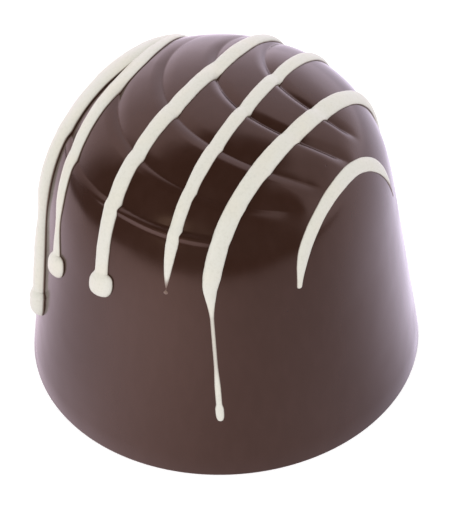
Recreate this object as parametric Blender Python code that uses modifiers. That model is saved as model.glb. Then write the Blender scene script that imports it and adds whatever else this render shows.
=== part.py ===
"""Dark chocolate praline with a stepped crown and white chocolate drizzle.

The praline is a moulded dome, solid and uncut. Its wall leans in a little and rolls over into
the crown, where five crescent steps lie one inside another, like petals that overlap. Six
threads of white chocolate run across it side by side and end in drops on the wall.

Metres, +Z up. The origin is the centre of the flat base.
"""

import math
from collections import namedtuple

import bmesh
import bpy
from mathutils import Vector
from mathutils.geometry import interpolate_bezier

MM = 0.001

# The dome
BASE_RADIUS = 14.5 * MM
HEIGHT = 23.0 * MM
DRAFT = math.radians(8.6)       # how far the wall leans in
WALL_HEIGHT = 12.1 * MM         # the straight part of the wall
SHOULDER_REACH = 6.1 * MM       # curve handle that carries on up the wall
CROWN_REACH = 11.2 * MM         # curve handle that runs level out of the crown's centre
SEGMENTS = 72                   # facets round the dome
OUTLINE_POINTS = 17             # points of the rounded stretch of the outline
MERGE_DISTANCE = 0.01 * MM      # points nearer than this become one

# The crescent steps, from the innermost out: each follows a circle in plan, runs from
# STEP_START to its own end (degrees round that circle) and fades out at both
Step = namedtuple("Step", "x y radius end")
STEPS = (
    Step(10.3 * MM, 4.1 * MM, 7.1 * MM, 262),
    Step(7.7 * MM, 2.6 * MM, 7.9 * MM, 277),
    Step(5.6 * MM, 1.5 * MM, 9.2 * MM, 278),
    Step(2.5 * MM, -0.6 * MM, 9.1 * MM, 288),
    Step(0.1 * MM, -1.4 * MM, 9.5 * MM, 270),
)
STEP_START = 126
STEP_FADE = 18                  # degrees over which a step's end runs out
STEP_DEPTH = 0.32 * MM
RISER = 0.35 * MM               # width in plan of the face that climbs to the next petal
TERRACE = 2.6 * MM              # how far inwards the surface dips towards the riser
SPLIT_LINES = (-RISER, 0.0, 0.4 * TERRACE, TERRACE)     # lines inside the circle that split faces
SNAP_DISTANCE = 0.12 * MM       # a corner this near such a line moves onto it
LEAST_RISE = 0.2                # upward part of a normal, at least, when a slope is worked out

# The drizzle: each thread is straight in plan, lean degrees from +X and offset mm to the right of
# the centre. It ends at a height above the base at the front and at the back, with its front end
# swollen by drop. bow bends it off its line behind the crown, and below run it thins and flows
# straight down the wall.
Thread = namedtuple("Thread", "name lean offset width front_end back_end drop bow run",
                    defaults=(0.0, 0.0, 0.0))
THREADS = (
    Thread("drizzle_1", 51.3, -8.2, 0.90, 6.2, 10.5, drop=0.35, bow=0.009),
    Thread("drizzle_2", 57.6, -6.5, 0.80, 11.8, 13.5, drop=0.75),
    Thread("drizzle_3", 53.9, -1.0, 1.15, 13.2, 8.0, drop=0.45),
    Thread("drizzle_4", 57.7, 3.1, 0.95, 15.2, 12.0),
    Thread("drizzle_5", 51.8, 6.9, 1.20, 4.8, 9.5, run=15.6),
    Thread("drizzle_6", 54.9, 10.6, 0.95, 14.6, 15.0),
)
THREAD_HEIGHT = 0.45 * MM
THREAD_GAP = 0.3 * MM           # clearance between a thread and the dome
THREAD_SECTION = 6              # points round a thread, the flat underside at its ends
THREAD_SPACING = 1.3 * MM       # distance between a thread's sections
DROP_LENGTH = 1.6 * MM          # how much of an end its drop takes up
DROP_MIDDLE = 0.5               # where a drop is widest, as a share of its length
DROP_SPREAD = 0.35              # how far it spreads to both sides of that, as a share too
TIP_LENGTH = 0.5 * MM           # rounded stretch at a thread's ends
TIP_WIDTH = 0.35                # width of the very end against the thread's own
CREST_CLEARANCE = 0.1 * MM      # a thread's second point is at least this far past its crest
RUN_WIDTH = 0.38                # width of a run down the wall against the thread's own
RUN_TAPER = 1.5 * MM            # height over which the thread thins to it

SHARP_ANGLE = math.radians(35)  # edges that turn further than this are shaded as corners
DARK_CHOCOLATE = (0.043, 0.019, 0.014, 1.0)
DARK_ROUGHNESS = 0.25
WHITE_CHOCOLATE = (0.79, 0.77, 0.66, 1.0)
WHITE_ROUGHNESS = 0.45


# --- helpers ---------------------------------------------------------------------------------

def start_scene(name):
    """Empty the scene and return a new collection for the object."""
    for old in list(bpy.data.objects):
        bpy.data.objects.remove(old, do_unlink=True)
    collection = bpy.data.collections.new(name)
    bpy.context.scene.collection.children.link(collection)
    return collection


def make_material(name, colour, roughness):
    """Principled material of one colour."""
    material = bpy.data.materials.new(name)
    material.use_nodes = True
    shader = material.node_tree.nodes["Principled BSDF"]
    shader.inputs["Base Color"].default_value = colour
    shader.inputs["Roughness"].default_value = roughness
    shader.inputs["Metallic"].default_value = 0.0
    return material


def add_object(name, mesh, collection, material):
    """Link a mesh to the scene as an object with one material, shaded smooth."""
    piece = bpy.data.objects.new(name, mesh)
    mesh.materials.clear()
    mesh.materials.append(material)
    mesh.shade_smooth()
    mesh.set_sharp_from_angle(angle=SHARP_ANGLE)
    collection.objects.link(piece)
    return piece


def smooth_step(value):
    """Ease from 0 to 1 as value goes from 0 to 1."""
    value = min(max(value, 0.0), 1.0)
    return value * value * (3.0 - 2.0 * value)


# --- the dome --------------------------------------------------------------------------------

def dome_outline():
    """Outline of the dome in the XZ plane, from the crown's centre down to the base."""
    lean = math.tan(DRAFT)
    wall_top = Vector((BASE_RADIUS - WALL_HEIGHT * lean, 0.0, WALL_HEIGHT))
    shoulder = wall_top + Vector((-lean, 0.0, 1.0)) * SHOULDER_REACH
    centre = Vector((0.0, 0.0, HEIGHT))
    reach = centre + Vector((CROWN_REACH, 0.0, 0.0))
    curve = interpolate_bezier(centre, reach, shoulder, wall_top, OUTLINE_POINTS)
    return curve + [Vector((BASE_RADIUS, 0.0, 0.0))]


def turned_mesh(outline):
    """Closed mesh of the outline turned about Z, its base closed at the centre."""
    profile = bpy.data.meshes.new("dome_profile")
    points = outline + [Vector((0.0, 0.0, 0.0))]
    edges = [(i, i + 1) for i in range(len(points) - 1)]
    profile.from_pydata(points, edges, [])
    turned = bpy.data.objects.new("dome_profile", profile)
    bpy.context.scene.collection.objects.link(turned)
    screw = turned.modifiers.new("turn", "SCREW")
    screw.steps = SEGMENTS
    screw.render_steps = SEGMENTS
    screw.use_merge_vertices = True
    screw.merge_threshold = MERGE_DISTANCE
    depsgraph = bpy.context.evaluated_depsgraph_get()
    mesh = bpy.data.meshes.new_from_object(turned.evaluated_get(depsgraph))
    bpy.data.objects.remove(turned, do_unlink=True)
    return mesh


def step_fade(point, step):
    """How fully a step is formed at a point: 1 along its middle, 0 past its ends."""
    angle = math.degrees(math.atan2(point.y - step.y, point.x - step.x)) % 360
    return smooth_step(min(angle - STEP_START, step.end - angle) / STEP_FADE)


def step_inside(point, step):
    """Distance in plan from a step's circle to a point, positive inside it."""
    return step.radius - math.hypot(point.x - step.x, point.y - step.y)


def step_depth(point, step):
    """How far one step lowers the crown at a point."""
    inside = step_inside(point, step)
    if inside < 0.0:
        section = max(0.0, 1.0 + inside / RISER)
    else:
        section = max(0.0, 1.0 - inside / TERRACE) ** 2
    return STEP_DEPTH * section * step_fade(point, step)


def cut_along(bm, step, inside):
    """Split the crown's faces along the line at a distance inside a step's circle."""
    on_line = set()
    for vert in bm.verts:
        miss = step_inside(vert.co, step) - inside
        if abs(miss) < SNAP_DISTANCE and step_fade(vert.co, step) > 0.0 and vert.co.z > WALL_HEIGHT:
            outward = Vector((vert.co.x - step.x, vert.co.y - step.y, 0.0)).normalized()
            slope = vert.normal.dot(outward) / max(vert.normal.z, LEAST_RISE)
            vert.co += miss * (outward - Vector((0.0, 0.0, slope)))
            on_line.add(vert)
    for edge in list(bm.edges):
        start, end = edge.verts
        if start in on_line or end in on_line or min(start.co.z, end.co.z) < WALL_HEIGHT:
            continue
        before = step_inside(start.co, step) - inside
        after = step_inside(end.co, step) - inside
        if before * after < 0.0 and step_fade(start.co, step) > 0.0:
            on_line.add(bmesh.utils.edge_split(edge, start, before / (before - after))[1])
    bmesh.ops.connect_verts(bm, verts=list(on_line))


def make_body(collection, material):
    """The moulded dome with its crescent steps."""
    mesh = turned_mesh(dome_outline())
    bm = bmesh.new()
    bm.from_mesh(mesh)
    for step in STEPS:
        for inside in SPLIT_LINES:
            cut_along(bm, step, inside)
    bmesh.ops.triangulate(bm, faces=bm.faces)
    bm.normal_update()
    crown = [vert for vert in bm.verts if vert.co.z > WALL_HEIGHT]
    depths = [max(step_depth(vert.co, step) for step in STEPS) for vert in crown]
    normals = [vert.normal.copy() for vert in crown]
    for vert, depth, normal in zip(crown, depths, normals):
        vert.co -= depth * normal
    bm.to_mesh(mesh)
    bm.free()
    return add_object("praline_body", mesh, collection, material)


# --- the drizzle -----------------------------------------------------------------------------

def height_at(outline, radius):
    """Height of the dome's outline at a radius."""
    for upper, lower in zip(outline, outline[1:]):
        if lower.x >= radius:
            return upper.lerp(lower, (radius - upper.x) / (lower.x - upper.x)).z
    return 0.0


def thread_side(thread, outline, forward):
    """Path of half a thread, from where it crosses the crown down one side of the dome."""
    lean = math.radians(thread.lean)
    along = Vector((math.cos(lean), math.sin(lean), 0.0)) * (-1.0 if forward else 1.0)
    across = Vector((math.sin(lean), -math.cos(lean), 0.0))
    offset = thread.offset * MM
    nearest = abs(offset)
    points = [offset * across + Vector((0.0, 0.0, height_at(outline, nearest)))]
    run_direction = None
    for ring in outline:
        if ring.x <= nearest + CREST_CLEARANCE:
            continue
        side = offset if forward else offset - thread.bow / MM * (ring.x - nearest) ** 2
        place = math.sqrt(ring.x ** 2 - side ** 2) * along + side * across
        if forward and ring.z < thread.run * MM:
            run_direction = run_direction or place.normalized()
            place = run_direction * ring.x
        points.append(place + Vector((0.0, 0.0, ring.z)))
    return cut_at_height(points, (thread.front_end if forward else thread.back_end) * MM)


def cut_at_height(points, height):
    """The part of a falling path that is above a height, with a last point at that height."""
    kept = [point for point in points if point.z > height]
    above, below = kept[-1], points[len(kept)]
    kept.append(above.lerp(below, (above.z - height) / (above.z - below.z)))
    return kept


def even_points(points, spacing):
    """Points at even distances along a path, its two ends included."""
    lengths = [0.0]
    for start, end in zip(points, points[1:]):
        lengths.append(lengths[-1] + (end - start).length)
    count = round(lengths[-1] / spacing)
    spread = []
    leg = 0
    for i in range(count + 1):
        target = lengths[-1] * i / count
        while leg < len(lengths) - 2 and lengths[leg + 1] < target:
            leg += 1
        share = (target - lengths[leg]) / (lengths[leg + 1] - lengths[leg])
        spread.append(points[leg].lerp(points[leg + 1], share))
    return spread


def dome_normal(outline, point):
    """Outward direction of the dome next to a point."""
    for upper, lower in zip(outline, outline[1:]):
        if lower.z <= point.z:
            break
    slope = lower - upper
    radial = Vector((point.x, point.y, 0.0)).normalized()
    return (radial * -slope.z + Vector((0.0, 0.0, slope.x))).normalized()


def thread_width(thread, from_front, from_back, height):
    """Width of a thread where it is so far from its two ends, at a height above the base."""
    width = thread.width * MM
    if thread.run and from_front < from_back:
        thinned = smooth_step((thread.run * MM - height) / RUN_TAPER + 0.5)
        width *= 1.0 + (RUN_WIDTH - 1.0) * thinned
    off_middle = (from_front / DROP_LENGTH - DROP_MIDDLE) / DROP_SPREAD
    drop = thread.drop * math.exp(-off_middle ** 2)
    tip = min(from_front, from_back, TIP_LENGTH) / TIP_LENGTH
    return width * (1.0 + drop) * max(TIP_WIDTH, math.sqrt(1.0 - (1.0 - tip) ** 2))


def thread_ring(bm, centre, along, up, width):
    """Cross-section of a thread: a low arch with a flat underside, clear of the dome."""
    side = along.cross(up).normalized()
    ring = []
    for i in range(THREAD_SECTION):
        turn = math.pi * i / (THREAD_SECTION - 1)
        rise = THREAD_GAP + THREAD_HEIGHT * math.sin(turn)
        ring.append(bm.verts.new(centre + side * (width / 2 * math.cos(turn)) + up * rise))
    return ring


def make_thread(thread, outline, collection, material):
    """One thread of drizzle, lofted through its cross-sections."""
    front = thread_side(thread, outline, forward=True)
    back = thread_side(thread, outline, forward=False)
    path = even_points(front[::-1] + back[1:], THREAD_SPACING)
    last = len(path) - 1
    bm = bmesh.new()
    rings = []
    for i, centre in enumerate(path):
        along = (path[min(i + 1, last)] - path[max(i - 1, 0)]).normalized()
        up = dome_normal(outline, centre)
        width = thread_width(thread, i * THREAD_SPACING, (last - i) * THREAD_SPACING, centre.z)
        rings.append(thread_ring(bm, centre, along, up, width))
    for first, second in zip(rings, rings[1:]):
        for i in range(THREAD_SECTION):
            j = (i + 1) % THREAD_SECTION
            bm.faces.new((first[i], first[j], second[j], second[i]))
    bm.faces.new(rings[0][::-1])
    bm.faces.new(rings[-1])
    bmesh.ops.recalc_face_normals(bm, faces=bm.faces)
    mesh = bpy.data.meshes.new(thread.name)
    bm.to_mesh(mesh)
    bm.free()
    return add_object(thread.name, mesh, collection, material)


def main():
    collection = start_scene("chocolate_praline")
    dark = make_material("dark_chocolate", DARK_CHOCOLATE, DARK_ROUGHNESS)
    white = make_material("white_chocolate", WHITE_CHOCOLATE, WHITE_ROUGHNESS)
    make_body(collection, dark)
    outline = dome_outline()
    for thread in THREADS:
        make_thread(thread, outline, collection, white)


main()
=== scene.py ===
"""Chocolate praline: a stepped dark chocolate dome under white chocolate drizzle.

The dome and each thread of drizzle are modelled here in full and stand for the plain solids of
the frame. All lengths are metres, +Z is up and the drips hang on the side that faces -Y.
"""

import logging
import math
from dataclasses import dataclass, field
from enum import Enum

import bpy
import numpy as np
from mathutils import Matrix, Vector


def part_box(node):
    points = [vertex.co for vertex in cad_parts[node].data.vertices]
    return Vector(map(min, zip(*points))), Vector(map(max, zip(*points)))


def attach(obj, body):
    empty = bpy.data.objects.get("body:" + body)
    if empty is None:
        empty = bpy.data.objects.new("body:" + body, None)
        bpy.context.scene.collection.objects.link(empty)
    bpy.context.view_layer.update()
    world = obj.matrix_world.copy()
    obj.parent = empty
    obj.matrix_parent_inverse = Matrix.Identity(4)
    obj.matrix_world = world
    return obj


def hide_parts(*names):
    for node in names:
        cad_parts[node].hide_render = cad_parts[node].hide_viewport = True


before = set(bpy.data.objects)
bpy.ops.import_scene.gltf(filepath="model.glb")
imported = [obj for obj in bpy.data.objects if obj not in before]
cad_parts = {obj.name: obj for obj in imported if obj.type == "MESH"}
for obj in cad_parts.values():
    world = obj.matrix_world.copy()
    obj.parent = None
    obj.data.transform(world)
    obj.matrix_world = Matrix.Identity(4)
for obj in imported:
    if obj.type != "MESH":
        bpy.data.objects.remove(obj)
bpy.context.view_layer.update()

MM = 0.001
BODY_NODE = "praline_body"
PATH_STEP = 0.02 * MM   # distance between the points that a thread's path is first drawn with
RIPPLE_SEED = 40        # keeps a thread's ripple apart from its waver
BULB_POWER = 2.4        # how full a drop is: 2 is an ellipse, and more is fuller
MERGE_DISTANCE = 0.0005 * MM
LOG = logging.getLogger("praline")


# --- small tools -----------------------------------------------------------------------------

def smooth_step(value: np.ndarray) -> np.ndarray:
    """Ease from 0 to 1 as value goes from 0 to 1."""
    eased = np.clip(value, 0.0, 1.0)
    return eased * eased * (3.0 - 2.0 * eased)


def deselect_all() -> None:
    """Leave object mode with nothing selected."""
    if bpy.context.object and bpy.context.object.mode != "OBJECT":
        bpy.ops.object.mode_set(mode="OBJECT")
    bpy.ops.object.select_all(action="DESELECT")


def read_points(piece: bpy.types.Object) -> np.ndarray:
    """Return a piece's vertices as an array of shape (count, 3).

    Args:
        piece: the mesh object.

    Returns:
        One row of X, Y and Z for each vertex.
    """
    points = np.empty(len(piece.data.vertices) * 3)
    piece.data.vertices.foreach_get("co", points)
    return points.reshape(-1, 3)


def write_points(piece: bpy.types.Object, points: np.ndarray) -> None:
    """Put a piece's vertices at the given places."""
    piece.data.vertices.foreach_set("co", points.ravel())
    piece.data.update()


def write_attribute(piece: bpy.types.Object, name: str, values: np.ndarray) -> None:
    """Store one number for each vertex under a name that materials can read."""
    layer = piece.data.attributes.new(name, "FLOAT", "POINT")
    layer.data.foreach_set("value", values.astype(np.float32))


def select_where(piece: bpy.types.Object, chosen: np.ndarray) -> None:
    """Select exactly the given vertices of a piece, leaving it in object mode.

    Args:
        piece: the mesh object, in object mode.
        chosen: one truth value for each vertex.
    """
    piece.data.polygons.foreach_set("select", np.zeros(len(piece.data.polygons), bool))
    piece.data.edges.foreach_set("select", np.zeros(len(piece.data.edges), bool))
    piece.data.vertices.foreach_set("select", chosen)


def wander(along: np.ndarray, seed: int, wavelength: float) -> np.ndarray:
    """Return a slow random wave along a line, between about -1 and 1.

    Args:
        along: distances along the line.
        seed: picks one wave among many.
        wavelength: typical distance between two crests.

    Returns:
        The wave's height at each distance.
    """
    rng = np.random.default_rng(seed)
    wave = np.zeros_like(along)
    for octave in (1.0, 1.7, 2.9):
        phase = rng.uniform(0.0, 2.0 * math.pi)
        wave += np.sin(2.0 * math.pi * octave * along / wavelength + phase) / octave
    return wave / 1.9


# --- finishes --------------------------------------------------------------------------------

class NodeWork:
    """What every shader network here needs: a way to add a node to its tree."""

    tree: bpy.types.NodeTree

    def add(self, kind: str, **settings: object) -> bpy.types.Node:
        """Add a node to the tree.

        Args:
            kind: the node's kind.
            **settings: properties to set on it.

        Returns:
            The node.
        """
        node = self.tree.nodes.new(kind)
        for key, value in settings.items():
            setattr(node, key, value)
        return node


class NodeBench(NodeWork):
    """Places and joins shader nodes in one material."""

    def __init__(self, name: str) -> None:
        """Start a material.

        Args:
            name: the material's name.
        """
        self.material = bpy.data.materials.new(name)
        self.material.use_nodes = True
        self.tree = self.material.node_tree
        self.shader = self.tree.nodes["Principled BSDF"]
        self.place = self.add("ShaderNodeTexCoord").outputs["Object"]

    def join(self, source: bpy.types.NodeSocket, target: bpy.types.NodeSocket) -> None:
        """Link an output to an input."""
        self.tree.links.new(source, target)

    def noise(self, size: float, detail: float = 3.0, stretch: float = 1.0) -> bpy.types.NodeSocket:
        """Add noise in object space.

        Args:
            size: distance over which it changes, in metres.
            detail: number of finer layers.
            stretch: how much longer its blotches are along Z.

        Returns:
            The noise's value, from 0 to 1.
        """
        mapping = self.add("ShaderNodeMapping")
        mapping.inputs["Scale"].default_value = (1.0, 1.0, 1.0 / stretch)
        self.join(self.place, mapping.inputs["Vector"])
        node = self.add("ShaderNodeTexNoise")
        node.inputs["Scale"].default_value = 1.0 / size
        node.inputs["Detail"].default_value = detail
        self.join(mapping.outputs["Vector"], node.inputs["Vector"])
        return node.outputs["Fac"]

    def ramp(self, source: bpy.types.NodeSocket, low: float, high: float,
             start: float, end: float) -> bpy.types.NodeSocket:
        """Map a value smoothly from low..high to start..end.

        Args:
            source: the value to map.
            low: value that becomes start.
            high: value that becomes end.
            start: result at low.
            end: result at high.

        Returns:
            The mapped value.
        """
        node = self.add("ShaderNodeMapRange", interpolation_type="SMOOTHSTEP")
        node.inputs["From Min"].default_value = low
        node.inputs["From Max"].default_value = high
        node.inputs["To Min"].default_value = start
        node.inputs["To Max"].default_value = end
        self.join(source, node.inputs["Value"])
        return node.outputs["Result"]

    def blend(self, factor: bpy.types.NodeSocket, first: object, second: object) -> bpy.types.NodeSocket:
        """Mix two colours, each given as a tuple or as another node's output.

        Args:
            factor: 0 for the first colour, 1 for the second.
            first: colour at 0.
            second: colour at 1.

        Returns:
            The mixed colour.
        """
        node = self.add("ShaderNodeMix", data_type="RGBA")
        self.join(factor, node.inputs["Factor"])
        for socket, colour in ((node.inputs[6], first), (node.inputs[7], second)):
            if isinstance(colour, tuple):
                socket.default_value = (*colour, 1.0)
            else:
                self.join(colour, socket)
        return node.outputs[2]

    def specks(self, spacing: float, size: float, share: float) -> bpy.types.NodeSocket:
        """Scatter small round specks in object space.

        Args:
            spacing: typical distance between two places where a speck may lie.
            size: a speck's radius.
            share: how many of those places hold one, from 0 to 1.

        Returns:
            1 on a speck and 0 between them.
        """
        cells = self.add("ShaderNodeTexVoronoi")
        cells.inputs["Scale"].default_value = 1.0 / spacing
        self.join(self.place, cells.inputs["Vector"])
        lot = self.add("ShaderNodeSeparateColor")
        self.join(cells.outputs["Color"], lot.inputs["Color"])
        held = self.ramp(lot.outputs[0], 1.0 - share, 1.01 - share, 0.0, 1.0)
        spot = self.ramp(cells.outputs["Distance"], 0.5 * size / spacing, size / spacing, 1.0, 0.0)
        both = self.add("ShaderNodeMath", operation="MULTIPLY")
        self.join(held, both.inputs[0])
        self.join(spot, both.inputs[1])
        return both.outputs[0]

    def bump(self, height: bpy.types.NodeSocket, depth: float) -> bpy.types.Node:
        """Add a bump of a depth in metres and return its node.

        Args:
            height: the pattern, from 0 to 1.
            depth: how deep it is, in metres.

        Returns:
            The bump node.
        """
        node = self.add("ShaderNodeBump")
        node.inputs["Strength"].default_value = 1.0
        node.inputs["Distance"].default_value = depth
        self.join(height, node.inputs["Height"])
        return node


@dataclass(frozen=True)
class DarkChocolate:
    """Tempered dark chocolate from a polished mould, with a soft gloss and faint smudges."""

    colour: tuple[float, float, float] = (0.0325, 0.0125, 0.0076)
    pale: tuple[float, float, float] = (0.036, 0.0145, 0.0095)
    gloss_tint: tuple[float, float, float] = (1.0, 0.775, 0.60)
    roughness: float = 0.17
    smudge: float = 0.07
    # painted shade inside the small pits
    pit_shade_colour: tuple[float, float, float] = (0.022, 0.008, 0.005)

    def make(self) -> bpy.types.Material:
        """Build the material.

        Returns:
            The finished material.
        """
        bench = NodeBench("dark_chocolate")
        mottle = bench.noise(0.9 * MM, detail=5.0, stretch=2.5)
        plain = bench.blend(bench.ramp(mottle, 0.35, 0.7, 0.0, 1.0), self.colour, self.pale)
        # Small pits, dented by the bump below; their darker colour is painted shade in each pit.
        pits = bench.specks(2.4 * MM, 0.09 * MM, 0.3)
        bench.join(bench.blend(pits, plain, self.pit_shade_colour), bench.shader.inputs["Base Color"])
        smudges = bench.ramp(bench.noise(4.5 * MM, detail=2.0), 0.45, 0.75,
                             self.roughness, self.roughness + self.smudge)
        bench.join(smudges, bench.shader.inputs["Roughness"])
        grain = bench.bump(bench.noise(0.35 * MM, detail=4.0), 0.0016 * MM)
        swell = bench.bump(bench.noise(3.0 * MM, detail=1.0), 0.03 * MM)
        bench.join(swell.outputs["Normal"], grain.inputs["Normal"])
        dent = bench.bump(bench.ramp(pits, 0.0, 1.0, 1.0, 0.0), 0.006 * MM)
        bench.join(grain.outputs["Normal"], dent.inputs["Normal"])
        bench.join(dent.outputs["Normal"], bench.shader.inputs["Normal"])
        bench.shader.inputs["IOR"].default_value = 1.5
        bench.shader.inputs["Specular Tint"].default_value = (*self.gloss_tint, 1.0)
        return bench.material


@dataclass(frozen=True)
class WhiteChocolate:
    """Set white chocolate: ivory, satin, and see-through where it thins out; its brown edge rim is partly
    painted contact shade.
    """

    colour: tuple[float, float, float] = (0.74, 0.72, 0.645)
    cream: tuple[float, float, float] = (0.755, 0.72, 0.625)
    dull: tuple[float, float, float] = (0.67, 0.65, 0.565)
    # film: brown of thin white chocolate over dark, also painted contact shade along the edges
    film: tuple[float, float, float] = (0.20, 0.13, 0.10)
    roughness: float = 0.42

    def make(self) -> bpy.types.Material:
        """Build the material.

        Returns:
            The finished material.
        """
        bench = NodeBench("white_chocolate")
        tint = bench.blend(bench.ramp(bench.noise(2.5 * MM), 0.4, 0.7, 0.0, 1.0),
                           self.colour, self.cream)
        tint = bench.blend(bench.ramp(bench.noise(0.2 * MM, detail=2.0), 0.45, 0.75, 0.0, 0.6),
                           tint, self.dull)
        # Brown where the white chocolate is thin: at the see-through ends, and along every edge, where it
        # is also painted contact shade against the dome.
        thickness_with_contact_shade = bench.add("ShaderNodeAttribute", attribute_name="thickness_with_contact_shade").outputs["Fac"]
        cover = bench.ramp(thickness_with_contact_shade, 0.0, 0.9, 0.0, 1.0)
        bench.join(bench.blend(cover, self.film, tint), bench.shader.inputs["Base Color"])
        bench.shader.inputs["Roughness"].default_value = self.roughness
        bench.shader.inputs["IOR"].default_value = 1.46
        grain = bench.bump(bench.noise(0.28 * MM, detail=3.0), 0.008 * MM)
        bench.join(grain.outputs["Normal"], bench.shader.inputs["Normal"])
        return bench.material


# --- the dome --------------------------------------------------------------------------------

@dataclass(frozen=True)
class Crescent:
    """One step of the crown: a riser along a circle in plan, over a terrace that dips to it.

    It runs round the circle from start to end, in degrees, and fades out at both. At the side
    the riser is wider, by softness, and flares outwards; at the front its top may rise to a lip.
    """

    x: float
    y: float
    radius: float
    end: float
    depth: float = 0.24 * MM
    riser: float = 0.8 * MM
    sharpness: float = 2.0
    softness: float = 0.2
    start: float = 118.0
    fade_in: float = 60.0
    fade_out: float = 13.0
    side: float = 180.0
    front: float = 235.0
    terrace: float = 2.6 * MM
    hollow: float = 0.9 * MM
    flare: float = 0.0
    lip: float = 0.0
    lip_width: float = 0.2 * MM

    def dip(self, x: np.ndarray, y: np.ndarray) -> np.ndarray:
        """Return how far the crown is lowered at each place in plan.

        Args:
            x: places along X.
            y: places along Y.

        Returns:
            The depth below the plain dome, in metres, less than 0 on a raised lip.
        """
        angle = np.degrees(np.arctan2(y - self.y, x - self.x)) % 360.0
        formed = (smooth_step((angle - self.start) / self.fade_in)
                  * smooth_step((self.end - angle) / self.fade_out))
        crisp = smooth_step((angle - self.side) / (self.front - self.side))
        inside = self.radius + self.flare * (1.0 - crisp) - np.hypot(x - self.x, y - self.y)
        riser = self.riser * (1.0 + self.softness * (1.0 - crisp))
        climb = np.clip(1.0 + inside / riser, 0.0, 1.0) ** self.sharpness
        terrace = (0.6 * np.clip(1.0 - inside / self.terrace, 0.0, 1.0) ** 2
                   + 0.4 * np.clip(1.0 - inside / self.hollow, 0.0, 1.0) ** 2)
        lip = self.lip * crisp ** 3 * np.exp(-((inside + riser) / self.lip_width) ** 2)
        return formed * (self.depth * np.where(inside < 0.0, climb, terrace) - lip)


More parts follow.
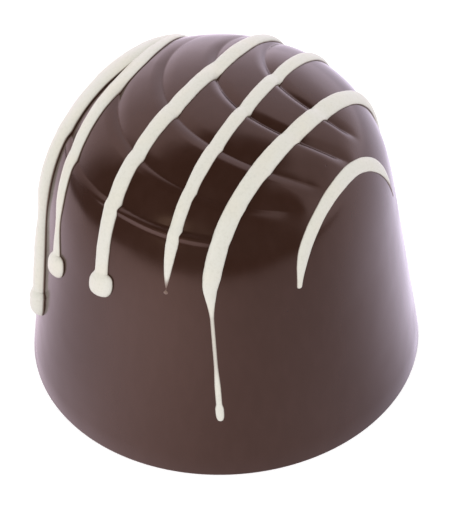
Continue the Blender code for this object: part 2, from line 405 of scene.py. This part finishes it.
@dataclass
class Dome:
    """The moulded body: a turned dome with five crescent steps pressed into its crown."""

    base_radius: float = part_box(BODY_NODE)[1].x
    height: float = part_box(BODY_NODE)[1].z
    draft: float = math.radians(8.6)
    wall_height: float = 12.1 * MM
    shoulder_reach: float = 6.1 * MM
    crown_reach: float = 11.2 * MM
    edge_radius: float = 0.08 * MM
    segments: int = 490
    crown_rings: int = 188
    wall_rings: int = 8
    step_reach: float = 11.5 * MM
    wide_rings: float = 0.3
    edge_rings: int = 4
    crescents: tuple[Crescent, ...] = (
        Crescent(10.45 * MM, 4.0 * MM, 6.74 * MM, 265.0, 0.32 * MM, 0.8 * MM, 2.5),
        Crescent(7.7 * MM, 2.6 * MM, 7.56 * MM, 283.0, 0.29 * MM, 0.8 * MM, 2.5),
        Crescent(5.6 * MM, 1.5 * MM, 9.06 * MM, 284.0, 0.2 * MM, 0.85 * MM),
        Crescent(2.4 * MM, -0.49 * MM, 9.01 * MM, 292.0, 0.22 * MM),
        Crescent(0.51 * MM, -0.76 * MM, 10.0 * MM, 271.0, 0.15 * MM, 0.2 * MM, 1.6, 1.3,
                 start=135.0, hollow=1.7 * MM, flare=0.4 * MM, lip=0.16 * MM, lip_width=0.13 * MM),
    )

    def handles(self) -> tuple[Vector, Vector, Vector, Vector]:
        """Return the outline curve's points: crown, its handle, the shoulder's handle, wall top.

        Returns:
            The four points, in the XZ plane.
        """
        lean = math.tan(self.draft)
        wall_top = Vector((self.base_radius - self.wall_height * lean, 0.0, self.wall_height))
        shoulder = wall_top + Vector((-lean, 0.0, 1.0)) * self.shoulder_reach
        crown = Vector((0.0, 0.0, self.height))
        return crown, crown + Vector((self.crown_reach, 0.0, 0.0)), shoulder, wall_top

    def outline(self, count: int = 1200) -> tuple[np.ndarray, np.ndarray]:
        """Return the radii and heights of the plain dome, from the crown's centre to the base.

        Args:
            count: how many points the rounded stretch has.

        Returns:
            The radii and the heights.
        """
        t = np.linspace(0.0, 1.0, count)[:, None]
        crown, reach, shoulder, wall_top = (np.array(point) for point in self.handles())
        curve = ((1 - t) ** 3 * crown + 3 * (1 - t) ** 2 * t * reach
                 + 3 * (1 - t) * t ** 2 * shoulder + t ** 3 * wall_top)
        wall = np.linspace(wall_top, (self.base_radius, 0.0, 0.0), count // 2)[1:]
        line = np.vstack((curve, wall))
        return line[:, 0], line[:, 2]

    def normals(self, points: np.ndarray) -> np.ndarray:
        """Return the plain dome's outward direction beside each point.

        Args:
            points: places on or near the dome.

        Returns:
            One unit vector for each point.
        """
        radii, heights = self.outline()
        out, up = -np.gradient(heights), np.gradient(radii)
        size = np.hypot(out, up)
        radius = np.hypot(points[:, 0], points[:, 1])
        outward = np.interp(radius, radii, out / size)
        upward = np.interp(radius, radii, up / size)
        around = points[:, :2] / np.maximum(radius, 1e-9)[:, None]
        return np.column_stack((around * outward[:, None], upward))

    def dip(self, points: np.ndarray) -> np.ndarray:
        """Return how far the crescents lower the crown at each point."""
        dips = np.array([step.dip(points[:, 0], points[:, 1]) for step in self.crescents])
        return np.max(dips, axis=0) + np.clip(np.min(dips, axis=0), None, 0.0)

    def draw_outline(self) -> bpy.types.Object:
        """Draw half the dome's section as a line of edges in the XZ plane.

        Returns:
            The drawn line.
        """
        deselect_all()
        bpy.ops.curve.primitive_bezier_curve_add(radius=self.base_radius, location=(0, 0, 0))
        drawn = bpy.context.object
        first, last = drawn.data.splines[0].bezier_points
        crown, reach, shoulder, wall_top = self.handles()
        for point in (first, last):
            point.handle_left_type = point.handle_right_type = "FREE"
        first.co, first.handle_right, first.handle_left = crown, reach, crown
        last.co, last.handle_left, last.handle_right = wall_top, shoulder, wall_top
        drawn.data.splines[0].resolution_u = self.crown_rings
        bpy.ops.object.convert(target="MESH")
        self.space_rings(drawn)
        return drawn

    def space_rings(self, drawn: bpy.types.Object) -> None:
        """Slide the outline's points along it: close together where the steps are, wide below.

        Args:
            drawn: the drawn outline.
        """
        radii, heights = self.outline(4000)
        crown = heights >= self.wall_height
        radii, heights = radii[crown], heights[crown]
        share = np.where(radii < self.step_reach, 1.0, self.wide_rings)[1:]
        length = np.concatenate(((0.0,), np.cumsum(np.hypot(np.diff(radii), np.diff(heights)) * share)))
        points = read_points(drawn)
        order = np.argsort(points[:, 0])
        even = np.linspace(0.0, length[-1], len(points))
        points[order, 0] = np.interp(even, length, radii)
        points[order, 2] = np.interp(even, length, heights)
        write_points(drawn, points)

    def extend_outline(self, drawn: bpy.types.Object) -> None:
        """Carry the drawn outline down the wall, round the base's edge and in to the centre.

        Args:
            drawn: the drawn outline.
        """
        lean = math.tan(self.draft)
        top = Vector((self.base_radius - self.wall_height * lean, 0.0, self.wall_height))
        radius = self.edge_radius
        centre = Vector((self.base_radius - radius * (1.0 + lean), 0.0, radius))
        start = centre + radius * Vector((math.cos(self.draft), 0.0, math.sin(self.draft)))
        stops = [top.lerp(start, (i + 1) / self.wall_rings) for i in range(self.wall_rings)]
        for i in range(1, self.edge_rings + 1):
            turn = self.draft - (self.draft + math.pi / 2) * i / self.edge_rings
            stops.append(centre + radius * Vector((math.cos(turn), 0.0, math.sin(turn))))
        stops.append(Vector((0.0, 0.0, 0.0)))
        heights = read_points(drawn)[:, 2]
        select_where(drawn, heights == heights.min())
        bpy.ops.object.mode_set(mode="EDIT")
        here = top
        for stop in stops:
            bpy.ops.mesh.extrude_vertices_move(TRANSFORM_OT_translate={"value": stop - here})
            here = stop
        bpy.ops.object.mode_set(mode="OBJECT")

    def turn(self, drawn: bpy.types.Object) -> None:
        """Turn the outline about Z into the closed dome.

        Args:
            drawn: the drawn outline.
        """
        screw = drawn.modifiers.new("turning", "SCREW")
        screw.angle = 2.0 * math.pi
        screw.steps = screw.render_steps = self.segments
        screw.use_merge_vertices = True
        screw.merge_threshold = MERGE_DISTANCE
        bpy.ops.object.modifier_apply(modifier="turning")
        bpy.ops.object.mode_set(mode="EDIT")
        bpy.ops.mesh.select_all(action="SELECT")
        bpy.ops.mesh.remove_doubles(threshold=MERGE_DISTANCE)
        bpy.ops.mesh.normals_make_consistent(inside=False)
        bpy.ops.object.mode_set(mode="OBJECT")

    def press_steps(self, turned: bpy.types.Object) -> None:
        """Lower the crown's surface along its own normals where the crescents are.

        Args:
            turned: the plain dome.
        """
        points = read_points(turned)
        crown = points[:, 2] > self.wall_height
        lowered = points[crown]
        points[crown] = lowered - self.dip(lowered)[:, None] * self.normals(lowered)
        write_points(turned, points)

    def build(self, material: bpy.types.Material) -> bpy.types.Object:
        """Model the dome and dress it.

        Args:
            material: the dome's finish.

        Returns:
            The finished piece.
        """
        dome = self.draw_outline()
        self.extend_outline(dome)
        self.turn(dome)
        self.press_steps(dome)
        dome.name = dome.data.name = "moulded_dome"
        bpy.ops.object.shade_smooth()
        dome.data.materials.clear()
        dome.data.materials.append(material)
        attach(dome, "root")
        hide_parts(BODY_NODE)
        return dome


# --- the drizzle -----------------------------------------------------------------------------

class Tip(Enum):
    """How a thread of drizzle ends."""

    ROUND = "round"
    DROP = "drop"
    TAPER = "taper"
    DOTTED = "dotted"


@dataclass(frozen=True)
class End:
    """One end of a thread: its height above the base, its shape and the shape's size.

    Over the last stretch, film long, the white chocolate is thin enough to see through. A drop
    hangs to one side: hang is how far its right side is drawn up, as a share of its half width.
    """

    height: float
    tip: Tip = Tip.ROUND
    width: float = 0.0
    length: float = 0.5 * MM
    film: float = 0.0
    hang: float = 0.0

    @staticmethod
    def cap(distance: np.ndarray, radius: float) -> np.ndarray:
        """Return a round cap's share of the full width at distances from its end."""
        share = np.clip(distance / radius, 0.0, 1.0)
        return np.sqrt(np.clip(1.0 - (1.0 - share) ** 2, 0.0, 1.0))

    def bulb(self, distance: np.ndarray) -> np.ndarray:
        """Return a drop's share of its full width at distances from its end."""
        share = np.clip(distance / self.length, 0.0, 1.0)
        full = np.clip(1.0 - np.abs(2.0 * share - 1.0) ** BULB_POWER, 0.0, 1.0)
        return full ** (1.0 / BULB_POWER)

    def hang_at(self, distance: np.ndarray) -> np.ndarray:
        """Return how far a drop's right side is drawn up, as a share of its half width."""
        return self.hang * self.bulb(distance)

    def width_at(self, distance: np.ndarray, width: np.ndarray) -> np.ndarray:
        """Shape a thread's width near this end.

        Args:
            distance: how far each section lies from the end.
            width: the thread's plain width there.

        Returns:
            The shaped width.
        """
        if self.tip is Tip.DROP:
            neck = width * np.clip((distance / self.length - 0.5) / 0.2, 0.0, 1.0)
            return (neck ** 4 + (self.width * self.bulb(distance)) ** 4) ** 0.25
        if self.tip is Tip.TAPER:
            flare = self.width + (width - self.width) * smooth_step(distance / self.length)
            return flare * self.cap(distance, 0.5 * self.width)
        if self.tip is Tip.DOTTED:
            dot = self.width * np.sqrt(np.clip(1.0 - (distance / self.width - 0.5) ** 2 * 4, 0, 1))
            share = np.clip((distance - 1.6 * self.width) / self.length, 0.0, 1.0)
            return np.maximum(dot, width * share ** 0.6 + 0.02 * MM)
        return width * self.cap(distance, self.length)

    def cover_at(self, distance: np.ndarray) -> np.ndarray:
        """Return how opaque the thread is near this end, from 0 for a film to 1.

        Args:
            distance: how far each section lies from the end.

        Returns:
            One share for each section.
        """
        if not self.film:
            return np.ones_like(distance)
        return smooth_step(distance / self.film)


@dataclass(frozen=True)
class Run:
    """A thin run that leaves the thread at a height and flows straight down the wall.

    The thread thins to the run's width at the neck, and the run widens again at its foot.
    """

    height: float
    neck: float
    width: float
    taper: float = 3.0 * MM
    drift: float = 0.38 * MM
    foot_width: float = 0.44 * MM
    foot_height: float = 9.8 * MM
    foot_taper: float = 2.4 * MM


@dataclass(frozen=True)
class Pinch:
    """A place where a thread is drawn out thin: its height, its share of the width, its length."""

    height: float
    share: float
    length: float = 3.0 * MM


@dataclass
class Thread:
    """A thread of white chocolate poured across the crown, straight in plan.

    lean is its direction in degrees from +X and offset its distance to the right of the centre.
    It narrows towards the front by waist, and stands prouder below the shoulder by wall_rise.
    Bow bends its back half to the left, and hang bends its front end, past hang_reach, to the
    right. Its width wavers slowly by waver, and by ripple over a short length.
    """

    name: str
    node: str
    lean: float
    offset: float
    width: float
    front: End
    back: End
    waist: float = 1.0
    bow: float = 0.0
    run: Run | None = None
    pinch: Pinch | None = None
    hang: float = 0.0
    hang_reach: float = 0.0
    rise: float = 0.23
    wall_rise: float = 0.0
    shoulder: float = 20.5 * MM
    shoulder_length: float = 5.0 * MM
    sink: float = 0.14 * MM
    sections: int = 420
    points_round: int = 28
    seed: int = 1
    bridge: float = 1.1 * MM
    pool: float = 0.38
    waver: float = 0.045
    waver_length: float = 7.0 * MM
    ripple: float = 0.014
    ripple_length: float = 1.6 * MM
    dome: Dome = field(default_factory=Dome)

    def directions(self) -> tuple[np.ndarray, np.ndarray]:
        """Return the unit vectors along and across the thread in plan.

        Returns:
            The vector along the thread and the one across it.
        """
        lean = math.radians(self.lean)
        return (np.array((math.cos(lean), math.sin(lean))),
                np.array((math.sin(lean), -math.cos(lean))))

    def half_path(self, forward: bool) -> np.ndarray:
        """Return points on the plain dome from the crest down to one end.

        Args:
            forward: True for the front half and False for the back half.

        Returns:
            The points, crest first.
        """
        along, across = self.directions()
        radii, heights = self.dome.outline()
        reach = np.arange(0.0, self.dome.base_radius, PATH_STEP)
        side = np.full_like(reach, self.offset)
        if forward:
            side = side + self.hang / MM * np.clip(reach - self.hang_reach, 0.0, None) ** 2
        else:
            side = side - self.bow / MM * reach ** 2
        plan = (-reach if forward else reach)[:, None] * along + side[:, None] * across
        radius = np.hypot(plan[:, 0], plan[:, 1])
        height = np.interp(radius, radii, heights, right=-1.0)
        end = (self.front if forward else self.back).height
        stop = self.run.height if forward and self.run else end
        kept = height >= stop
        path = np.column_stack((plan, height))[kept]
        if forward and self.run:
            path = np.vstack((path, self.run_path(path[-1])))
        return path

    def run_path(self, start: np.ndarray) -> np.ndarray:
        """Return points straight down the wall from a start to the front end.

        Args:
            start: where the run leaves the thread.

        Returns:
            The points below the start.
        """
        radii, heights = self.dome.outline()
        height = np.arange(start[2], self.front.height, -PATH_STEP)
        radius = np.interp(-height, -heights, radii)
        turn = math.atan2(start[1], start[0])
        down = (start[2] - height) / (start[2] - self.front.height)
        angle = turn + self.run.drift / self.dome.base_radius * down
        return np.column_stack((radius * np.cos(angle), radius * np.sin(angle), height))[1:]

    def centre_line(self) -> tuple[np.ndarray, np.ndarray]:
        """Return evenly spaced points from the front end to the back, and their distances.

        Returns:
            The points, and how far along the thread each one lies.
        """
        path = np.vstack((self.half_path(True)[::-1], self.half_path(False)[1:]))
        steps = np.linalg.norm(np.diff(path, axis=0), axis=1)
        length = np.concatenate(((0.0,), np.cumsum(steps)))
        even = np.linspace(0.0, length[-1], 2400)
        path = np.column_stack([np.interp(even, length, path[:, i]) for i in range(3)])
        reach = 41
        padded = np.pad(path, ((reach // 2, reach // 2), (0, 0)), mode="reflect", reflect_type="odd")
        kernel = np.hanning(reach + 2)[1:-1]
        kernel /= kernel.sum()
        smoothed = [np.convolve(padded[:, i], kernel, mode="valid") for i in range(3)]
        return np.column_stack(smoothed), even

    def widths(self, line: np.ndarray, length: np.ndarray) -> np.ndarray:
        """Return the thread's width at each distance along its centre line.

        Args:
            line: points of the centre line.
            length: how far along the thread each one lies.

        Returns:
            One width for each point.
        """
        crest = length[np.argmax(line[:, 2])]
        to_front = np.clip((crest - length) / crest, 0.0, 1.0)
        width = self.width * (1.0 - (1.0 - self.waist) * smooth_step(to_front))
        width *= 1.0 + self.waver * wander(length, self.seed, self.waver_length)
        width *= 1.0 + self.ripple * wander(length, self.seed + RIPPLE_SEED, self.ripple_length)
        forward = length < crest
        if self.pinch:
            near = (line[:, 2] - self.pinch.height) / self.pinch.length
            width *= 1.0 - (1.0 - self.pinch.share) * np.exp(-4.0 * near ** 2) * forward
        if self.run:
            thinned = smooth_step((self.run.neck - line[:, 2]) / self.run.taper + 0.5)
            spread = smooth_step((self.run.foot_height - line[:, 2]) / self.run.foot_taper)
            thin = self.run.width + (self.run.foot_width - self.run.width) * spread
            width = width + (thin - width) * thinned * forward
        width = self.front.width_at(length, width)
        return self.back.width_at(length[-1] - length, width)

    def settle(self, line: np.ndarray, length: np.ndarray) -> np.ndarray:
        """Return how far the thread sinks into the steps under it, eased along its length.

        Args:
            line: points of the centre line.
            length: how far along the thread each one lies.

        Returns:
            One depth for each point.
        """
        dip = self.dome.dip(line)
        reach = int(self.bridge / (length[1] - length[0]))
        kernel = np.hanning(2 * reach + 1)
        return np.convolve(dip, kernel / kernel.sum(), mode="same")

    def build(self, material: bpy.types.Material) -> bpy.types.Object:
        """Draw a sphere out along the thread's path and dress it.

        Args:
            material: the thread's finish.

        Returns:
            The finished piece.
        """
        deselect_all()
        bpy.ops.mesh.primitive_uv_sphere_add(segments=self.points_round, ring_count=self.sections,
                                             radius=1.0, location=(0, 0, 0))
        thread = bpy.context.object
        ball = read_points(thread)
        line, length = self.centre_line()
        width = self.widths(line, length)
        settle = self.settle(line, length)
        pooled = self.pool * (self.dome.dip(line) - settle)
        tangent = np.gradient(line, axis=0)
        tangent /= np.linalg.norm(tangent, axis=1)[:, None]

        at = np.arccos(np.clip(ball[:, 2], -1.0, 1.0)) / math.pi * length[-1]
        turn = np.arctan2(ball[:, 1], ball[:, 0])
        pole = np.abs(ball[:, 2]) > 0.999999
        centre = np.column_stack([np.interp(at, length, line[:, i]) for i in range(3)])
        along = np.column_stack([np.interp(at, length, tangent[:, i]) for i in range(3)])
        here = np.interp(at, length, width)
        sunk = np.interp(at, length, settle)
        up = self.dome.normals(centre)
        side = np.cross(along, up)
        side /= np.linalg.norm(side, axis=1)[:, None]

        over = np.where(pole, 0.0, np.sin(turn))
        across = np.where(pole, 0.0, np.cos(turn))
        spill = np.interp(at, length, pooled) * np.where(across < 0.0, 0.3, 1.0)
        placed = centre + (across * (here / 2.0 + spill))[:, None] * side
        placed = placed + (self.front.hang_at(at) * across * here / 2.0)[:, None] * along
        on_wall = smooth_step((self.shoulder - centre[:, 2]) / self.shoulder_length)
        rise = (self.rise + self.wall_rise * on_wall) * here
        floor = self.dome.dip(placed)
        lift = np.clip(over, 0.0, 1.0)
        drop = floor + (sunk - floor) * lift
        proud = np.where(over > 0.0, rise * lift, self.sink * over)
        placed = placed + (proud - drop)[:, None] * up
        write_points(thread, placed)
        # Fades to 0 at each thread's edges, so they go brown: partly white chocolate thin enough to show
        # the dark chocolate, partly painted contact shade where the thread meets the dome.
        cover = self.front.cover_at(at) * self.back.cover_at(length[-1] - at)
        write_attribute(thread, "thickness_with_contact_shade", cover * np.clip(proud / (0.1 * MM), 0.0, 1.0))

        thread.name = thread.data.name = self.name
        bpy.ops.object.mode_set(mode="EDIT")
        bpy.ops.mesh.select_all(action="SELECT")
        bpy.ops.mesh.normals_make_consistent(inside=False)
        bpy.ops.object.mode_set(mode="OBJECT")
        bpy.ops.object.shade_smooth()
        thread.data.materials.clear()
        thread.data.materials.append(material)
        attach(thread, "root")
        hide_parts(self.node)
        return thread


@dataclass
class Drizzle:
    """The six threads of white chocolate, from left to right."""

    threads: tuple[Thread, ...] = (
        Thread("thread_left_edge", "drizzle_1", 51.0, -8.22 * MM, 2.0 * MM,
               End(5.5 * MM, Tip.DROP, 2.15 * MM, 2.4 * MM, hang=0.35), End(10.5 * MM), waist=0.84,
               bow=0.004, pinch=Pinch(14.0 * MM, 0.72, 3.2 * MM), hang=-0.03, hang_reach=7.5 * MM,
               rise=0.24, wall_rise=0.14, seed=3),
        Thread("thread_left_drop", "drizzle_2", 57.5, -6.72 * MM, 1.27 * MM,
               End(11.5 * MM, Tip.DROP, 2.25 * MM, 1.9 * MM, hang=0.38), End(13.5 * MM), waist=0.82,
               bow=0.01, pinch=Pinch(15.7 * MM, 0.6, 3.0 * MM), seed=7),
        Thread("thread_big_drop", "drizzle_3", 54.1, -1.18 * MM, 1.3 * MM,
               End(13.1 * MM, Tip.DROP, 2.05 * MM, 1.95 * MM, hang=0.3), End(8.0 * MM), waist=0.84,
               bow=0.005, seed=11),
        Thread("thread_pointed", "drizzle_4", 57.9, 2.92 * MM, 1.02 * MM,
               End(14.9 * MM, Tip.DOTTED, 0.32 * MM, 3.0 * MM, film=1.6 * MM), End(12.0 * MM),
               waist=0.78, seed=5),
        Thread("thread_long_run", "drizzle_5", 52.0, 6.7 * MM, 1.28 * MM,
               End(4.8 * MM, Tip.DROP, 0.6 * MM, 1.5 * MM), End(9.5 * MM), waist=0.9,
               bow=0.002, run=Run(15.6 * MM, 14.95 * MM, 0.28 * MM, 3.6 * MM), seed=2),
        Thread("thread_right_tip", "drizzle_6", 55.0, 10.36 * MM, 1.02 * MM,
               End(14.5 * MM, Tip.TAPER, 0.4 * MM, 2.8 * MM),
               End(14.2 * MM, Tip.TAPER, 0.1 * MM, 5.0 * MM, film=2.5 * MM), waist=0.88,
               bow=-0.028, hang=0.124, hang_reach=5.1 * MM, seed=9),
    )

    def build(self, material: bpy.types.Material) -> list[bpy.types.Object]:
        """Model every thread and return the pieces."""
        return [thread.build(material) for thread in self.threads]


# --- the studio ------------------------------------------------------------------------------

@dataclass
class Glow(NodeWork):
    """A shader network that lights by direction: side round the praline and height, in radians.

    Side 0 is straight in front of the praline and grows to the right.
    """

    tree: bpy.types.NodeTree

    def math(self, operation: str, first: object, second: object = 0.0) -> bpy.types.NodeSocket:
        """Work out a number from sockets or constants.

        Args:
            operation: the sum to do.
            first: its first socket or number.
            second: its second, where it has one.

        Returns:
            The result.
        """
        node = self.add("ShaderNodeMath", operation=operation)
        for socket, value in zip(node.inputs, (first, second)):
            if isinstance(value, float):
                socket.default_value = value
            else:
                self.tree.links.new(value, socket)
        return node.outputs[0]

    def between(self, share: bpy.types.NodeSocket, start: float, end: float) -> bpy.types.NodeSocket:
        """Go from one number at a share of 0 to another at a share of 1."""
        return self.math("ADD", self.math("MULTIPLY", share, end - start), start)

    def side(self, place: bpy.types.NodeSocket) -> tuple[bpy.types.NodeSocket, bpy.types.NodeSocket]:
        """Return the side and the height of a direction or place, in radians.

        Args:
            place: the direction or place.

        Returns:
            The side and the height.
        """
        split = self.add("ShaderNodeSeparateXYZ")
        self.tree.links.new(place, split.inputs[0])
        x, y, z = split.outputs
        return self.math("ARCTAN2", x, self.math("MULTIPLY", y, -1.0)), self.math("ARCSINE", z)

    def fade(self, source: bpy.types.NodeSocket, dark: float, bright: float) -> bpy.types.NodeSocket:
        """Ease from 0 at one value to 1 at another.

        Args:
            source: the value to ease.
            dark: where the result is 0.
            bright: where it is 1.

        Returns:
            The eased value.
        """
        node = self.add("ShaderNodeMapRange", interpolation_type="SMOOTHSTEP")
        node.inputs["From Min"].default_value = dark
        node.inputs["From Max"].default_value = bright
        self.tree.links.new(source, node.inputs["Value"])
        return node.outputs["Result"]

    def tint(self, side: bpy.types.NodeSocket, left: tuple[float, float, float],
             right: tuple[float, float, float]) -> bpy.types.NodeSocket:
        """Return a colour that eases from one on the left to one on the right.

        Args:
            side: the side, in radians.
            left: colour on the left.
            right: colour on the right.

        Returns:
            The colour.
        """
        node = self.add("ShaderNodeMix", data_type="RGBA")
        self.tree.links.new(self.fade(self.math("SINE", side), -0.6, 0.6), node.inputs["Factor"])
        node.inputs[6].default_value = (*left, 1.0)
        node.inputs[7].default_value = (*right, 1.0)
        return node.outputs[2]

    def light(self, kind: str, strength: object, colour: object = None) -> bpy.types.NodeSocket:
        """Return a light-giving shader, white unless a colour is given.

        Args:
            kind: the shader node's kind.
            strength: a number or a socket.
            colour: a socket, or None for white.

        Returns:
            The shader.
        """
        node = self.add(kind)
        node.inputs["Color"].default_value = (1.0, 1.0, 1.0, 1.0)
        if colour:
            self.tree.links.new(colour, node.inputs["Color"])
        if isinstance(strength, float):
            node.inputs["Strength"].default_value = strength
        else:
            self.tree.links.new(strength, node.inputs["Strength"])
        return node.outputs[0]

    def show(self, soft: bpy.types.NodeSocket, mirrored: bpy.types.NodeSocket,
             seen: bpy.types.NodeSocket, kind: str) -> None:
        """Send one shader to matt light, one to reflections and one to the camera.

        Args:
            soft: what lights matt surfaces.
            mirrored: what glossy surfaces reflect.
            seen: what the camera sees.
            kind: the output node's kind.
        """
        path = self.add("ShaderNodeLightPath")
        shader = soft
        for ray, choice in (("Is Glossy Ray", mirrored), ("Is Camera Ray", seen)):
            mixed = self.add("ShaderNodeMixShader")
            self.tree.links.new(path.outputs[ray], mixed.inputs[0])
            self.tree.links.new(shader, mixed.inputs[1])
            self.tree.links.new(choice, mixed.inputs[2])
            shader = mixed.outputs[0]
        self.tree.links.new(shader, self.add(kind).inputs["Surface"])


@dataclass(frozen=True)
class Shade:
    """A stretch of the table that sends less light to the praline.

    The core is half the stretch that is darkest, and the reach is where the shade has run out,
    both measured as angles from its middle.
    """

    middle: float
    core: float
    reach: float
    depth: float


@dataclass
class Studio:
    """A white table lit softly from behind and the right, with a dark room in front of it."""

    table_reach: float = 1.5
    board_front: float = 0.09
    board_left: float = 0.16
    board_edge: float = 0.02
    # near, far, even and the two gains paint the praline's shadow into the table's glow
    near: float = 16.0 * MM
    far: float = 36.0 * MM
    even: float = 0.45
    left_gain: float = 0.2
    right_gain: float = -0.08
    table_soft_glow: float = 0.55
    table_level: float = 1.62
    shades: tuple[Shade, ...] = (
        Shade(math.radians(30.0), math.radians(15.0), math.radians(70.0), 0.7),
        Shade(math.radians(-80.0), 0.0, math.radians(35.0), 0.4))
    room_front: float = 0.1
    room_sides: float = 1.1
    room_behind: float = 1.6
    well_behind: float = -0.6
    left_opening: tuple[float, float] = (math.radians(-98.0), math.radians(-132.0))
    right_opening: tuple[float, float] = (math.radians(48.0), math.radians(66.0))
    low_level: float = 1.4
    high_level: float = 0.9
    low_glow: tuple[float, float] = (math.radians(40.0), math.radians(8.0))
    ceiling: tuple[float, float] = (math.radians(67.0), math.radians(57.0))
    left_colour: tuple[float, float, float] = (1.0, 0.84, 0.98)
    right_colour: tuple[float, float, float] = (1.0, 0.91, 1.12)
    dimmest: float = 0.06
    fill: float = 0.92
    key_side: float = math.radians(-35.0)
    key_height: float = math.radians(23.0)
    key_distance: float = 0.6
    key_size: float = 0.25
    key_power: float = 0.6
    glint_size: float = 0.10
    glint_power: float = 0.35
    look_down: float = math.radians(42.414)
    distance: float = 139.76 * MM
    aim: tuple[float, float, float] = (0.22 * MM, 0.0, 7.80 * MM)
    roll: float = math.radians(-2.874)
    lens: float = 136.17

    def build_table(self) -> None:
        """Lay the white table."""
        deselect_all()
        bpy.ops.mesh.primitive_plane_add(size=2.0 * self.table_reach, location=(0, 0, -0.01 * MM))
        table = bpy.context.object
        bpy.ops.object.transform_apply()
        table.name = "white_table"
        bench = NodeBench("white_table")
        bench.shader.inputs["Base Color"].default_value = (0.8, 0.8, 0.8, 1.0)
        bench.shader.inputs["Roughness"].default_value = 1.0
        bench.shader.inputs["Emission Color"].default_value = (1.0, 1.0, 1.0, 1.0)
        bench.shader.inputs["Emission Strength"].default_value = self.table_soft_glow
        glow = Glow(bench.tree)
        split = glow.add("ShaderNodeSeparateXYZ")
        bench.join(bench.place, split.inputs[0])
        side, _ = glow.side(bench.place)
        strength = self.table_level
        for shade in self.shades:
            off = glow.math("ABSOLUTE", glow.math("SUBTRACT", side, shade.middle))
            dip = glow.math("MULTIPLY", glow.fade(off, shade.reach, shade.core), shade.depth)
            strength = glow.math("SUBTRACT", strength, dip)
        for reach, limit in ((split.outputs["X"], self.board_left), (split.outputs["Y"], self.board_front)):
            board = glow.fade(reach, -limit - self.board_edge, -limit + self.board_edge)
            strength = glow.math("MULTIPLY", strength, board)
        # Painted shadow of the praline: in reflections the table glows darker close to the base on the left
        # and a little lighter there on the right.
        away = glow.add("ShaderNodeVectorMath", operation="LENGTH")
        bench.join(bench.place, away.inputs[0])
        far = glow.fade(away.outputs["Value"], self.near, self.far)
        rightward = glow.fade(glow.math("SINE", side), -0.2, 0.6)
        gain = glow.between(rightward, self.left_gain, self.right_gain)
        painted_shade_near_base = glow.math("MULTIPLY", glow.math("SUBTRACT", far, self.even), gain)
        strength = glow.math("MULTIPLY", strength, glow.math("ADD", painted_shade_near_base, 1.0))
        strength = glow.math("MAXIMUM", strength, self.dimmest)
        bench.tree.nodes.remove(bench.tree.nodes["Material Output"])
        tint = glow.tint(side, self.left_colour, self.right_colour)
        glow.show(glow.light("ShaderNodeEmission", self.fill),
                  glow.light("ShaderNodeEmission", strength, tint), bench.shader.outputs[0],
                  "ShaderNodeOutputMaterial")
        table.data.materials.append(bench.material)

    def build_room(self) -> None:
        """Light the room: soft all round, with reflections bright behind and to the right."""
        world = bpy.data.worlds.new("room")
        bpy.context.scene.world = world
        world.use_nodes = True
        world.node_tree.nodes.clear()
        glow = Glow(world.node_tree)
        side, height = glow.side(glow.add("ShaderNodeTexCoord").outputs["Generated"])
        behind = glow.fade(glow.math("COSINE", side), 0.0, self.well_behind)
        bright = glow.between(behind, self.room_sides - self.room_front,
                              self.room_behind - self.room_front)
        opening = glow.math("MAXIMUM", glow.fade(side, *self.left_opening),
                            glow.fade(side, *self.right_opening))
        around = glow.math("ADD", glow.math("MULTIPLY", opening, bright), self.room_front)
        upward = glow.math("MULTIPLY", glow.fade(height, *self.ceiling),
                           glow.between(glow.fade(height, *self.low_glow), self.high_level,
                                        self.low_level))
        strength = glow.math("MAXIMUM", glow.math("MULTIPLY", around, upward), self.dimmest)
        tint = glow.tint(side, self.left_colour, self.right_colour)
        glow.show(glow.light("ShaderNodeBackground", self.fill),
                  glow.light("ShaderNodeBackground", strength, tint),
                  glow.light("ShaderNodeBackground", 1.0), "ShaderNodeOutputWorld")

    def build_lamp(self, name: str, size: float, power: float) -> bpy.types.Object:
        """Hang a round lamp in front, to the left.

        Args:
            name: the lamp's name.
            size: its diameter.
            power: its power in watts.

        Returns:
            The lamp.
        """
        direction = Vector((math.sin(self.key_side) * math.cos(self.key_height),
                            -math.cos(self.key_side) * math.cos(self.key_height),
                            math.sin(self.key_height)))
        data = bpy.data.lights.new(name, "AREA")
        data.shape = "DISK"
        data.size = size
        data.energy = power
        lamp = bpy.data.objects.new(name, data)
        bpy.context.scene.collection.objects.link(lamp)
        lamp.location = direction * self.key_distance
        lamp.rotation_euler = (-direction).to_track_quat("-Z", "Y").to_euler()
        return lamp

    def build_lamps(self) -> None:
        """Hang the key lamp, which lights without a glare, and the small lamp that glints."""
        self.build_lamp("key", self.key_size, self.key_power).visible_glossy = False
        glint = self.build_lamp("glint", self.glint_size, self.glint_power)
        glint.visible_diffuse = False
        glint.data.color = (1.0, 0.85, 0.75)

    def build_camera(self) -> None:
        """Aim the camera down at the front of the praline."""
        down, turn = self.look_down, self.roll
        forward = Vector((0.0, math.cos(down), -math.sin(down)))
        level_right = Vector((1.0, 0.0, 0.0))
        level_up = Vector((0.0, math.sin(down), math.cos(down)))
        right = math.cos(turn) * level_right + math.sin(turn) * level_up
        up = math.cos(turn) * level_up - math.sin(turn) * level_right
        data = bpy.data.cameras.new("camera")
        data.lens = self.lens
        data.clip_start = 0.005
        camera = bpy.data.objects.new("camera", data)
        bpy.context.scene.collection.objects.link(camera)
        place = Matrix((right, up, -forward)).transposed().to_4x4()
        place.translation = Vector(self.aim) - forward * self.distance
        camera.matrix_world = place
        bpy.context.scene.camera = camera

    def build(self) -> None:
        """Set up the table, the light and the camera."""
        self.build_table()
        self.build_lamps()
        self.build_room()
        self.build_camera()
        bpy.context.scene.view_settings.view_transform = "Standard"


# --- all together ----------------------------------------------------------------------------


def main() -> None:
    """Build the praline and its studio, and report each piece."""
    logging.basicConfig(level=logging.INFO, format="%(message)s")
    dome = Dome().build(DarkChocolate().make())
    threads = Drizzle().build(WhiteChocolate().make())
    for piece in [dome, *threads]:
        LOG.info("%s: %d faces", piece.name, len(piece.data.polygons))
    Studio().build()


if __name__ == "__main__":
    main()
